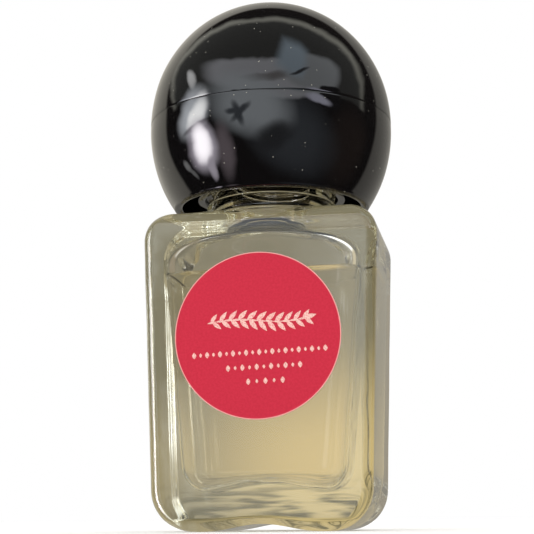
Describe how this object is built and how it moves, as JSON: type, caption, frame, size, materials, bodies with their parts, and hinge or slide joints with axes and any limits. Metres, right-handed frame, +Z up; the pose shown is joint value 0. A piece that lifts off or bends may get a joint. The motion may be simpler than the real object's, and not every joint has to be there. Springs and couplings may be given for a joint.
{
  "type": "perfume bottle",
  "caption": "Small rectangular clear-glass perfume bottle with pale yellow liquid, a round red label and a screw-on ball cap.",
  "frame": {"origin": "middle of the footprint, on the surface that the bottle stands on", "axes": "+Z up along the neck and the cap's screw axis; the label faces -Y; +X to the right of the label as it is read"},
  "size_m": [0.0248, 0.0248, 0.0539],
  "materials": {
    "clear_glass": "moulded clear glass, smooth and thick-walled",
    "perfume_liquid": "clear pale yellow liquid",
    "label_paper": "coated self-adhesive paper, printed red with a plain cream ornament",
    "liner_foam": "closed-cell polyethylene foam",
    "black_plastic": "polished moulded black plastic"
  },
  "bodies": {
    "bottle": {"glass_bottle": "clear_glass", "perfume": "perfume_liquid", "paper_label": "label_paper"},
    "liner": {"cap_liner": "liner_foam"},
    "cap": {"cap_skirt": "black_plastic", "cap_dome": "black_plastic"}
  },
  "joints": [
    {"name": "cap_lift", "type": "slide", "parent": "bottle", "child": "liner", "axis": [0, 0, 1], "range_m": [0, 0.00266]},
    {"name": "cap_turn", "type": "hinge", "parent": "liner", "child": "cap", "pos_m": [0, 0, 0.041], "axis": [0, 0, 1], "range_deg": [0, 450]}
  ],
  "couplings": [
    {"joint": "cap_lift", "follows": "cap_turn", "m_per_rad": 0.00033687}
  ]
}
